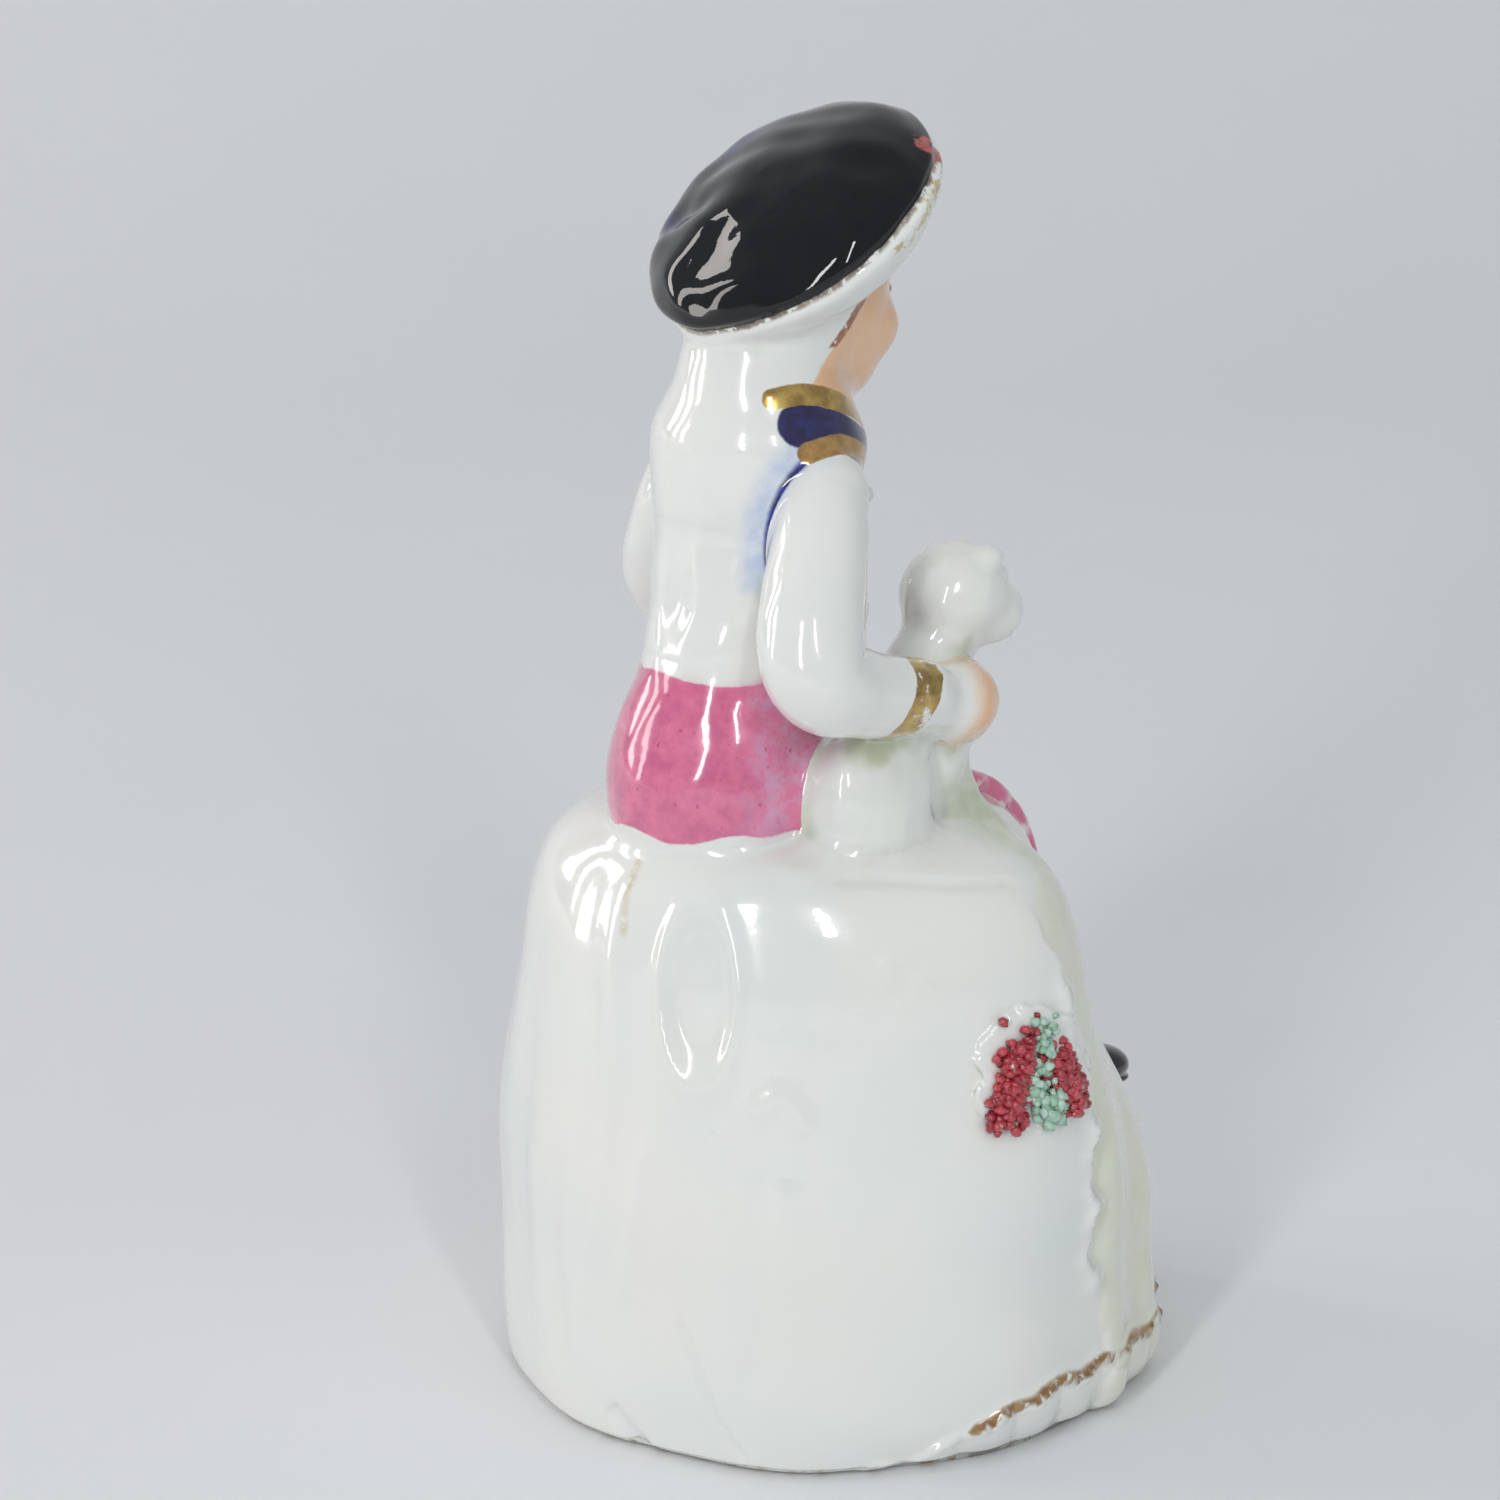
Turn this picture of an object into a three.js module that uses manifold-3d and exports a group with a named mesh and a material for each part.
// A porcelain table bell: a seated lady with a lap dog, whose spread skirt is the bell.
// Millimetres, +Z up. The lady faces -Y, so her right side is -X.
// The origin is on the table, in the middle of the skirt's rim.
//
// The porcelain is built the way a potter builds it: each cast or pressed piece is its own solid,
// and neighbours meet across a thin slip joint. Inside hangs the clapper, linked like a chain:
// staple, ring, wire, bead.
import * as THREE from "three";
import { mergeVertices } from "three/addons/utils/BufferGeometryUtils.js";
import Module from "manifold-3d";

const wasm = await Module();
wasm.setup();

// ---- Driving dimensions ----

const SLIP_JOINT = 0.3; // gap that the slip fills between two porcelain pieces

const SKIRT_RADIUS = 27.3; // at the widest, near the hem
const SKIRT_HEIGHT = 50; // table to the seat, on the axis
const SKIRT_WALL = 3;
const CROWN_WALL = 3.4;
const RIM_WIDTH = 2; // flat ring that stands on the table
const LAP_DROP = 0.13; // how much the seat falls towards the knees, per mm
const KNEE_PINCH = 0.25; // how far the skirt draws in beside the knees, at the seat
const LAP_PINCH = 0.08; // and in front of them

const WAIST = new THREE.Vector3(0, 12.4, 62.5);
const CHEST = new THREE.Vector3(0, 8.6, 73);
const SHOULDERS = new THREE.Vector3(0, 7.8, 80.5);
const NAPE = new THREE.Vector3(0, 7.8, 87);
const HEAD = new THREE.Vector3(0, 3.3, 91.8);
const HAT = new THREE.Vector3(0, 4, 97.2);
const HAT_AXIS = new THREE.Vector3(0.1, 0.57, 0.82).normalize();
const HAT_RADIUS = 12.8;

const SLEEVE_RADIUS = 4.1;
const RIGHT_ELBOW = new THREE.Vector3(-13.2, 15.8, 65.2);
const RIGHT_WRIST = new THREE.Vector3(-14.6, 4.6, 61.4);
const LEFT_ELBOW = new THREE.Vector3(12.4, 7.4, 67.4);
const LEFT_WRIST = new THREE.Vector3(7.6, -1, 59.6);

const DOG_HIP = new THREE.Vector3(-10.4, 6.4, 52);
const DOG_CHEST = new THREE.Vector3(-9, -1.6, 56);
const DOG_HEAD = new THREE.Vector3(-8.7, -5.4, 66.8);

const SHOE_HEIGHT = 20.6;

const SPRIG_DIRECTION = 174; // degrees from +X, at her right knee
const SPRIG_HEIGHT = 32.4;
const CRUMB_LIFT = 1.5; // crumbs' centres, above the skirt

const CROWN_CEILING = SKIRT_HEIGHT - CROWN_WALL;
const STAPLE_HEIGHT = 41; // the bar that the ring hangs on, above the table
const STAPLE_WIRE = 0.6; // wire radii
const RING_WIRE = 0.5;
const RING_RADIUS = 2;
const CLAPPER_WIRE = 0.5;
const EYE_RADIUS = 1.7;
const LINK_PLAY = 0.25; // clearance between two links
const BEAD_RADIUS = 5.4;
const BEAD_HEIGHT = 12.5; // bead's centre above the table
const PLUG_RADIUS = 7;
const PLUG_DEPTH = 2.6;

// ---- Glazes and metals ----

const glaze = (color, roughness = 0.12) =>
  new THREE.MeshStandardMaterial({ color, roughness, metalness: 0 });
const metal = (color, roughness) =>
  new THREE.MeshStandardMaterial({ color, roughness, metalness: 1 });

const WHITE_GLAZE = glaze(0xe9eae2);
const PINK_GLAZE = glaze(0xd0618a);
const FLESH_GLAZE = glaze(0xe9b48e);
const BLACK_GLAZE = glaze(0x141218, 0.08);
const RED_GLAZE = glaze(0xb8303e, 0.2);
const GREEN_GLAZE = glaze(0x8fc4ac, 0.2);
const PLASTER = glaze(0xd8d2c4, 0.9);
const STEEL_WIRE = metal(0x8d8880, 0.35);

// ---- Shapes ----

const v = (x, y, z) => new THREE.Vector3(x, y, z);

// A geometry with its shared vertices merged and its flat triangles dropped.
function welded(geometry) {
  const bare = geometry.clone();
  for (const name of Object.keys(bare.attributes)) {
    if (name !== "position") bare.deleteAttribute(name);
  }
  const merged = mergeVertices(bare, 1e-4);
  const corners = merged.index.array;
  const kept = [];
  for (let i = 0; i < corners.length; i += 3) {
    const [a, b, c] = [corners[i], corners[i + 1], corners[i + 2]];
    if (a !== b && b !== c && c !== a) kept.push(a, b, c);
  }
  merged.setIndex(kept);
  return merged;
}

// The same shape with its skin moved out by a distance, along the vertex normals.
function grown(geometry, distance) {
  const skin = welded(geometry);
  skin.computeVertexNormals();
  const { position, normal } = skin.attributes;
  for (let i = 0; i < position.count; i++) {
    position.setXYZ(
      i,
      position.getX(i) + normal.getX(i) * distance,
      position.getY(i) + normal.getY(i) * distance,
      position.getZ(i) + normal.getZ(i) * distance,
    );
  }
  return skin;
}

function solidOf(geometry) {
  const skin = welded(geometry);
  return new wasm.Manifold(
    new wasm.Mesh({
      numProp: 3,
      vertProperties: new Float32Array(skin.attributes.position.array),
      triVerts: new Uint32Array(skin.index.array),
    }),
  );
}

function geometryOf(solid) {
  const mesh = solid.getMesh();
  const geometry = new THREE.BufferGeometry();
  geometry.setAttribute("position", new THREE.BufferAttribute(mesh.vertProperties, 3));
  geometry.setIndex(new THREE.BufferAttribute(mesh.triVerts, 1));
  return geometry;
}

// The largest body of a solid, without the crumbs that a cut can leave.
function largest(solid) {
  return solid.decompose().reduce((big, body) => (body.volume() > big.volume() ? body : big));
}

// Several shapes joined into one solid.
const joined = (...geometries) =>
  geometries.map(solidOf).reduce((whole, part) => whole.add(part));

// A solid with a slip joint's width cut away round each neighbour.
const fitted = (solid, ...neighbours) =>
  largest(
    neighbours.reduce((rest, near) => rest.subtract(solidOf(grown(near, SLIP_JOINT))), solid),
  );

function egg(centre, [wide, deep, high], around = 16, rows = 10) {
  const shape = new THREE.SphereGeometry(1, around, rows);
  shape.rotateX(Math.PI / 2);
  shape.scale(wide, deep, high);
  shape.translate(centre.x, centre.y, centre.z);
  return shape;
}

// A round-ended form that follows a smooth path through its stations.
// Each station is [point, half width, half depth]; the width is measured along `across`.
function limb(stations, { around = 16, rows = 12, blunt = 3, across = v(1, 0, 0) } = {}) {
  const path = new THREE.CatmullRomCurve3(stations.map(([at]) => at));
  const girth = new THREE.CatmullRomCurve3(stations.map(([, wide, deep]) => v(wide, deep, 0)));
  const outline = [];
  for (let i = 0; i <= rows; i++) {
    const t = (1 - Math.cos((Math.PI * i) / rows)) / 2;
    const share = Math.pow(1 - Math.pow(Math.abs(2 * t - 1), blunt), 1 / blunt);
    outline.push(new THREE.Vector2(i % rows ? share : 0, t));
  }
  const shape = new THREE.LatheGeometry(outline, around);
  const { position } = shape.attributes;
  for (let i = 0; i < position.count; i++) {
    const t = Math.min(1, Math.max(0, position.getY(i)));
    const tangent = path.getTangent(t);
    const depth = across.clone().cross(tangent).normalize();
    const width = tangent.clone().cross(depth);
    const size = girth.getPoint(t);
    const point = path
      .getPoint(t)
      .addScaledVector(width, position.getX(i) * size.x)
      .addScaledVector(depth, position.getZ(i) * size.y);
    position.setXYZ(i, point.x, point.y, point.z);
  }
  return shape;
}

// A lathe form about the Z axis, from an outline of [radius, height] points.
function turned(outline, around) {
  const shape = new THREE.LatheGeometry(outline.map(([r, z]) => new THREE.Vector2(r, z)), around);
  return shape.rotateX(Math.PI / 2);
}

// Round wire bent along a path.
function wire(points, radius, { steps = 16, closed = false } = {}) {
  const section = new THREE.Shape().absarc(0, 0, radius, 0, 2 * Math.PI);
  return new THREE.ExtrudeGeometry(section, {
    steps,
    curveSegments: 6,
    extrudePath: new THREE.CatmullRomCurve3(points, closed, "centripetal"),
  });
}

// ---- The skirt, which is the bell ----

// How far the plan draws in at a point: nothing at the hem, most beside the knees at the seat.
function skirtPlan(angle, height) {
  const besideKnees = Math.sin(2 * angle) ** 2 * (1 - Math.sin(angle)) * 0.5;
  const rise = THREE.MathUtils.smoothstep(height, 14, 38);
  const scallop = 0.008 * Math.sin(9 * angle + 0.6) * (1 - rise);
  const before = Math.max(0, -Math.sin(angle)) ** 2;
  return 1 - (KNEE_PINCH * besideKnees + LAP_PINCH * before) * rise + scallop;
}

// The skirt's outside, from the rim up to the seat, as [radius, height].
const SKIRT_OUTLINE = [
  [SKIRT_RADIUS - 1.2, 0],
  [SKIRT_RADIUS - 0.4, 1.4],
  [SKIRT_RADIUS, 6],
  [SKIRT_RADIUS, 14],
  [SKIRT_RADIUS - 0.1, 21],
  [SKIRT_RADIUS - 0.9, 28.7],
  [SKIRT_RADIUS - 1.9, 35.6],
  [SKIRT_RADIUS - 2.7, 40],
  [SKIRT_RADIUS - 4.5, 44.2],
  [SKIRT_RADIUS - 7.4, 47.2],
  [SKIRT_RADIUS - 12, 49],
  [SKIRT_RADIUS - 18, SKIRT_HEIGHT],
  [0, SKIRT_HEIGHT],
];

function skirtBell() {
  const inner = SKIRT_RADIUS - SKIRT_WALL;
  const inside = [
    [0, CROWN_CEILING],
    [inner - 13.5, CROWN_CEILING],
    [inner - 8.5, 44],
    [inner - 5, 41],
    [inner - 2.6, 36],
    [inner - 1.2, 29],
    [inner - 0.2, 20],
    [inner, 8],
    [SKIRT_RADIUS - 1.2 - RIM_WIDTH, 0],
  ];
  const shape = turned([...inside, ...SKIRT_OUTLINE], 44);
  const { position } = shape.attributes;
  for (let i = 0; i < position.count; i++) {
    const [x, y, z] = [position.getX(i), position.getY(i), position.getZ(i)];
    const plan = skirtPlan(Math.atan2(y, x), z);
    const seat = THREE.MathUtils.smoothstep(z, 24, CROWN_CEILING);
    position.setXYZ(i, x * plan, y * plan, z + y * LAP_DROP * seat);
  }
  return shape;
}

// A point on the skirt's outside below the seat, by direction (degrees from +X) and height.
function onSkirt(degrees, height, proud = 0) {
  const above = SKIRT_OUTLINE.findIndex(([, z]) => z > height);
  const [[r0, z0], [r1, z1]] = [SKIRT_OUTLINE[above - 1], SKIRT_OUTLINE[above]];
  const outline = THREE.MathUtils.mapLinear(height, z0, z1, r0, r1);
  const angle = THREE.MathUtils.degToRad(degrees);
  const radius = outline * skirtPlan(angle, height) + proud;
  return v(radius * Math.cos(angle), radius * Math.sin(angle), height);
}

// ---- The lady ----

const torsoShape = () =>
  limb(
    [
      [v(WAIST.x, WAIST.y, WAIST.z - 3), 5.6, 4.8],
      [WAIST, 6.4, 5.4],
      [v(0, (WAIST.y + CHEST.y) / 2, (WAIST.z + CHEST.z) / 2), 7, 6.6],
      [CHEST, 7.5, 7.8],
      [SHOULDERS, 7.6, 6.8],
      [NAPE, 6.2, 5.6],
      [v(NAPE.x, NAPE.y - 0.6, NAPE.z + 3), 6, 5.4],
    ],
    { around: 22, rows: 14, blunt: 6 },
  );

const peplumShape = () =>
  limb(
    [
      [v(0, 12.6, 46), 7.2, 6.6],
      [v(0, 12.8, 50), 8.6, 8.4],
      [v(0, 13, 54.5), 9, 8.7],
      [v(0, 12.7, 59.4), 7.9, 7.4],
      [v(0, 12.4, 63.6), 6.6, 5.8],
    ],
    { around: 24, rows: 12, blunt: 8 },
  );

const headShape = () => egg(HEAD, [6.9, 7.3, 8.8], 18, 12);

const noseShape = () => egg(v(HEAD.x, HEAD.y - 7.2, HEAD.z - 1.2), [0.9, 1.1, 1.3], 8, 6);

const chinShape = () => egg(v(HEAD.x, HEAD.y - 2.8, HEAD.z - 6.6), [3.2, 3, 2.6], 12, 8);

// A shallow round hat with a rolled edge, dished underneath to sit on the back of the head.
function hatShape() {
  const r = HAT_RADIUS;
  const shape = turned(
    [
      [0, -5],
      [r * 0.5, -5],
      [r * 0.8, -3.2],
      [r * 0.96, -1],
      [r, 0.5],
      [r * 0.95, 1.8],
      [r * 0.8, 3.2],
      [r * 0.52, 4.5],
      [r * 0.26, 5.1],
      [0, 5.3],
    ],
    26,
  );
  shape.applyQuaternion(new THREE.Quaternion().setFromUnitVectors(v(0, 0, 1), HAT_AXIS));
  shape.translate(HAT.x, HAT.y, HAT.z);
  return shape;
}

const sleeveShape = (shoulder, elbow, wrist) =>
  limb(
    [
      [shoulder, SLEEVE_RADIUS * 0.8, SLEEVE_RADIUS * 0.85],
      [shoulder.clone().lerp(elbow, 0.35), SLEEVE_RADIUS * 1.05, SLEEVE_RADIUS * 1.08],
      [shoulder.clone().lerp(elbow, 0.78), SLEEVE_RADIUS, SLEEVE_RADIUS * 1.05],
      [elbow, SLEEVE_RADIUS, SLEEVE_RADIUS],
      [elbow.clone().lerp(wrist, 0.5), SLEEVE_RADIUS * 0.93, SLEEVE_RADIUS * 0.93],
      [wrist, SLEEVE_RADIUS * 0.86, SLEEVE_RADIUS * 0.86],
    ],
    { around: 14, rows: 16, blunt: 5 },
  );

const rightSleeveShape = () =>
  sleeveShape(v(-7.2, SHOULDERS.y + 1.2, SHOULDERS.z), RIGHT_ELBOW, RIGHT_WRIST);

const leftSleeveShape = () =>
  sleeveShape(v(6.4, SHOULDERS.y + 1.2, SHOULDERS.z - 0.4), LEFT_ELBOW, LEFT_WRIST);

const rightHandShape = () =>
  limb(
    [
      [v(RIGHT_WRIST.x, RIGHT_WRIST.y - 0.4, RIGHT_WRIST.z), 2.9, 3.1],
      [v(RIGHT_WRIST.x + 0.2, RIGHT_WRIST.y - 4, RIGHT_WRIST.z - 0.4), 3, 3.5],
      [v(RIGHT_WRIST.x + 1.3, RIGHT_WRIST.y - 8, RIGHT_WRIST.z - 0.9), 2.7, 3.3],
    ],
    { around: 12, rows: 8, blunt: 3 },
  );

const leftHandShape = () =>
  limb(
    [
      [v(LEFT_WRIST.x - 0.2, LEFT_WRIST.y - 0.4, LEFT_WRIST.z - 0.3), 2.7, 2.6],
      [v(LEFT_WRIST.x - 2, LEFT_WRIST.y - 4, LEFT_WRIST.z - 3), 3, 2.2],
      [v(LEFT_WRIST.x - 4, LEFT_WRIST.y - 7, LEFT_WRIST.z - 5), 2.6, 1.9],
    ],
    { around: 12, rows: 8, blunt: 3 },
  );

const bowShape = () => egg(v(CHEST.x - 0.8, CHEST.y - 8.2, CHEST.z + 1.4), [2.4, 1.9, 1.8], 12, 8);

// ---- What she wears over the skirt, and her shoes ----

// The apron's tail runs over her lap and hangs down in front to a round end.
const APRON_PATH = [
  [v(0, 2.5, 50.8), 4.6],
  [v(0, -7, 49.4), 5],
  [v(0, -14.5, 47), 5],
  [v(0, -20, 43.4), 5],
  [v(0, -22.6, 38), 4.8],
  [v(0, -25, 31.6), 4.6],
  [v(0, -27, 26.8), 3.8],
];
const apronShape = () =>
  limb(
    APRON_PATH.map(([at, wide]) => [at, wide, 1.3]),
    { around: 14, rows: 18, blunt: 5 },
  );

// A round toe that peeps out of the skirt, by direction (degrees from +X).
const shoeShape = (degrees, peep) =>
  limb(
    [
      [onSkirt(degrees, SHOE_HEIGHT + 1.6, -1.6), 2.2, 1.6],
      [onSkirt(degrees, SHOE_HEIGHT + 1.2, peep / 2), 2.4, 1.8],
      [onSkirt(degrees, SHOE_HEIGHT, peep), 1.9, 1.5],
    ],
    { around: 12, rows: 8 },
  );

// ---- The dog ----

const dogBodyShapes = () => [
  limb(
    [
      [v(DOG_HIP.x, DOG_HIP.y + 1.6, DOG_HIP.z - 5), 4, 4],
      [DOG_HIP, 4.8, 5.6],
      [v(DOG_HIP.x, DOG_HIP.y - 4, DOG_HIP.z + 2.4), 4.2, 5.2],
      [DOG_CHEST, 3.9, 5],
      [v(DOG_CHEST.x, DOG_CHEST.y - 2.2, DOG_CHEST.z + 5), 3, 3.2],
    ],
    { around: 16, rows: 12, blunt: 5 },
  ),
  limb(
    [
      [v(DOG_CHEST.x, DOG_CHEST.y - 1.6, DOG_CHEST.z + 1), 3, 2.6],
      [v(DOG_CHEST.x, DOG_CHEST.y - 3, DOG_CHEST.z - 5), 2.6, 2],
      [v(DOG_CHEST.x, DOG_CHEST.y - 5, DOG_CHEST.z - 10), 2.8, 2.4],
    ],
    { around: 12, rows: 8, blunt: 4 },
  ),
];

const dogHeadShapes = () => [
  egg(DOG_HEAD, [4.3, 4.6, 4.4], 16, 10),
  egg(v(DOG_HEAD.x, DOG_HEAD.y - 4.2, DOG_HEAD.z - 0.8), [2.5, 3, 2.4], 12, 8),
  limb(
    [
      [v(DOG_HEAD.x, DOG_HEAD.y + 0.6, DOG_HEAD.z - 1), 3, 3],
      [v(DOG_HEAD.x, DOG_HEAD.y + 1.2, DOG_HEAD.z - 5.4), 2.8, 2.9],
    ],
    { around: 12, rows: 6, blunt: 6 },
  ),
];

const dogEarShape = (side) =>
  egg(v(DOG_HEAD.x + side * 2.4, DOG_HEAD.y - 1.7, DOG_HEAD.z + 2.8), [1.3, 1.7, 1.6], 10, 8);

// ---- The sprig of flowers on the skirt ----

// The pad of clay that the sprig is pressed into.
function flowerPadShape() {
  const pad = egg(v(0, 0, 0), [1.5, 4.6, 5], 16, 10);
  const at = onSkirt(SPRIG_DIRECTION, SPRIG_HEIGHT);
  pad.rotateZ(THREE.MathUtils.degToRad(SPRIG_DIRECTION));
  return pad.translate(at.x, at.y, at.z);
}

// Crumbs of coloured clay pressed on the pad, one after another along a path.
// The path's points are [degrees, mm] away from the sprig's centre, round and up the skirt.
function crumbStrip(points, count, radius) {
  const path = new THREE.CatmullRomCurve3(
    points.map(([round, up]) => onSkirt(SPRIG_DIRECTION + round, SPRIG_HEIGHT + up, CRUMB_LIFT)),
  );
  const crumbs = [];
  for (let i = 0; i < count; i++) {
    const at = path.getPointAt(i / (count - 1));
    const crumb = new THREE.DodecahedronGeometry(radius * (i % 2 ? 0.86 : 1), 0);
    crumbs.push(crumb.rotateX(i).translate(at.x, at.y, at.z));
  }
  return joined(...crumbs);
}

// ---- The clapper ----

const RING_CENTRE = v(0, 0, STAPLE_HEIGHT + STAPLE_WIRE + LINK_PLAY - (RING_RADIUS - RING_WIRE));
const RING_FOOT = v(0, 0, RING_CENTRE.z - RING_RADIUS);
const EYE_CENTRE = v(0, 0, RING_FOOT.z + RING_WIRE + LINK_PLAY - (EYE_RADIUS - CLAPPER_WIRE));
const STAPLE_HALF = 3.2;
const STAPLE_SEAT = 2; // depth of its legs in the plug
const PLUG_FOOT = CROWN_CEILING - PLUG_DEPTH;

// The plaster plug under the crown, with two holes for the staple's legs.
function plugSolid() {
  const reach = PLUG_DEPTH + CROWN_WALL / 2;
  const disc = new THREE.CylinderGeometry(PLUG_RADIUS, PLUG_RADIUS - 0.8, reach, 24);
  disc.rotateX(Math.PI / 2).translate(0, 0, PLUG_FOOT + reach / 2);
  const depth = STAPLE_SEAT + 2 * SLIP_JOINT;
  const bore = STAPLE_WIRE + 1.5 * SLIP_JOINT;
  const holes = [-STAPLE_HALF, STAPLE_HALF].map((x) => {
    const hole = new THREE.CylinderGeometry(bore, bore, depth, 12);
    return hole.rotateX(Math.PI / 2).translate(x, 0, PLUG_FOOT + STAPLE_SEAT + SLIP_JOINT - depth / 2);
  });
  return solidOf(disc).subtract(joined(...holes));
}

const stapleShape = () =>
  wire(
    [
      v(-STAPLE_HALF, 0, PLUG_FOOT + STAPLE_SEAT),
      v(-STAPLE_HALF, 0, STAPLE_HEIGHT + 1.2),
      v(-STAPLE_HALF + 0.6, 0, STAPLE_HEIGHT + 0.3),
      v(-STAPLE_HALF + 1.4, 0, STAPLE_HEIGHT),
      v(0, 0, STAPLE_HEIGHT),
      v(STAPLE_HALF - 1.4, 0, STAPLE_HEIGHT),
      v(STAPLE_HALF - 0.6, 0, STAPLE_HEIGHT + 0.3),
      v(STAPLE_HALF, 0, STAPLE_HEIGHT + 1.2),
      v(STAPLE_HALF, 0, PLUG_FOOT + STAPLE_SEAT),
    ],
    STAPLE_WIRE,
    { steps: 18 },
  );

const ringShape = () => {
  const ring = new THREE.TorusGeometry(RING_RADIUS, RING_WIRE, 8, 20);
  return ring.rotateY(Math.PI / 2).translate(RING_CENTRE.x, RING_CENTRE.y, RING_CENTRE.z);
};

function clapperWireSolid() {
  const eye = new THREE.TorusGeometry(EYE_RADIUS, CLAPPER_WIRE, 8, 20);
  eye.rotateX(Math.PI / 2).translate(EYE_CENTRE.x, EYE_CENTRE.y, EYE_CENTRE.z);
  const top = EYE_CENTRE.z - EYE_RADIUS;
  const foot = BEAD_HEIGHT - BEAD_RADIUS - 1.6;
  const shank = new THREE.CylinderGeometry(CLAPPER_WIRE, CLAPPER_WIRE, top - foot, 10);
  shank.rotateX(Math.PI / 2).translate(0, 0, (top + foot) / 2);
  return joined(eye, shank);
}

// A shape of revolution with the shank's hole through it.
function onShank(outline, around, clearance) {
  const bore = new THREE.CylinderGeometry(CLAPPER_WIRE + clearance, CLAPPER_WIRE + clearance, 40, 12);
  bore.rotateX(Math.PI / 2).translate(0, 0, BEAD_HEIGHT);
  return solidOf(turned(outline, around)).subtract(solidOf(bore));
}

function beadSolid() {
  const profile = [];
  const rows = 10;
  for (let i = 0; i <= rows; i++) {
    const angle = Math.PI * (i / rows - 0.5);
    const radius = i % rows ? BEAD_RADIUS * Math.cos(angle) : 0;
    profile.push([radius, BEAD_HEIGHT + BEAD_RADIUS * Math.sin(angle)]);
  }
  return onShank(profile, 20, SLIP_JOINT);
}

// The crimped sleeve under the bead.
function stopSolid() {
  const top = BEAD_HEIGHT - BEAD_RADIUS - 0.1;
  const outline = [
    [0, top - 1.2],
    [1, top - 1.2],
    [1.2, top - 0.6],
    [1, top],
    [0, top],
  ];
  return onShank(outline, 12, 0.05);
}

// ---- Assembly ----

const bell = new THREE.Group();

function place(name, solid, material) {
  const mesh = new THREE.Mesh(geometryOf(solid), material);
  mesh.name = name;
  bell.add(mesh);
}

const skirt = skirtBell();
const peplum = peplumShape();
const torso = torsoShape();
const head = headShape();
const apron = apronShape();
const rightSleeve = rightSleeveShape();
const leftSleeve = leftSleeveShape();
const rightHand = rightHandShape();
const leftHand = leftHandShape();
const [dogTrunk, dogLegs] = dogBodyShapes();
const dogHead = dogHeadShapes();
const rightShoe = shoeShape(252, 2.6);
const leftShoe = shoeShape(271, 0.4);
const flowerPad = flowerPadShape();

place("skirt_bell", solidOf(skirt), WHITE_GLAZE);
place("peplum", fitted(solidOf(peplum), skirt), PINK_GLAZE);
place("torso", fitted(solidOf(torso), peplum), WHITE_GLAZE);
place("head", fitted(joined(head, noseShape(), chinShape()), torso), FLESH_GLAZE);
place("hat", fitted(solidOf(hatShape()), head, torso), BLACK_GLAZE);
place("bodice_bow", fitted(solidOf(bowShape()), torso), WHITE_GLAZE);
place("right_sleeve", fitted(solidOf(rightSleeve), torso, peplum), WHITE_GLAZE);
place("left_sleeve", fitted(solidOf(leftSleeve), torso, peplum), WHITE_GLAZE);
place("right_hand", fitted(solidOf(rightHand), rightSleeve), FLESH_GLAZE);
place("apron", fitted(solidOf(apron), skirt, peplum, torso), PINK_GLAZE);
place("left_hand", fitted(solidOf(leftHand), leftSleeve, apron, skirt), FLESH_GLAZE);
place("right_shoe", fitted(solidOf(rightShoe), skirt, apron), BLACK_GLAZE);
place("left_shoe", fitted(solidOf(leftShoe), skirt, apron), BLACK_GLAZE);
place(
  "dog_body",
  fitted(joined(dogTrunk, dogLegs), skirt, peplum, torso, rightSleeve, rightHand, apron, leftHand),
  WHITE_GLAZE,
);
place(
  "dog_head",
  fitted(joined(...dogHead), dogTrunk, dogLegs, rightHand, rightSleeve),
  WHITE_GLAZE,
);
place("dog_ear_right", fitted(solidOf(dogEarShape(-1)), ...dogHead), WHITE_GLAZE);
place("dog_ear_left", fitted(solidOf(dogEarShape(1)), ...dogHead), WHITE_GLAZE);

place("flower_pad", fitted(solidOf(flowerPad), skirt), WHITE_GLAZE);
const leftFlowers = crumbStrip([[-9, -3.4], [-8, -1], [-6.8, 1.2], [-5.8, 2.8]], 5, 1.3);
const rightFlowers = crumbStrip([[5.6, 1], [6.8, -1.4], [8.4, -3.4]], 4, 1.1);
const leaves = crumbStrip([[0.6, 4], [0, 0], [0.4, -4]], 8, 0.95);
place("red_flowers_left", fitted(leftFlowers, flowerPad, skirt), RED_GLAZE);
place("red_flowers_right", fitted(rightFlowers, flowerPad, skirt), RED_GLAZE);
place("leaf_sprig", fitted(leaves, flowerPad, skirt), GREEN_GLAZE);

place("crown_plug", fitted(plugSolid(), skirt), PLASTER);
place("clapper_staple", solidOf(stapleShape()), STEEL_WIRE);
place("hanger_ring", solidOf(ringShape()), STEEL_WIRE);
place("clapper_wire", clapperWireSolid(), STEEL_WIRE);
place("clapper_bead", beadSolid(), WHITE_GLAZE);
place("clapper_stop", stopSolid(), STEEL_WIRE);

export default bell;
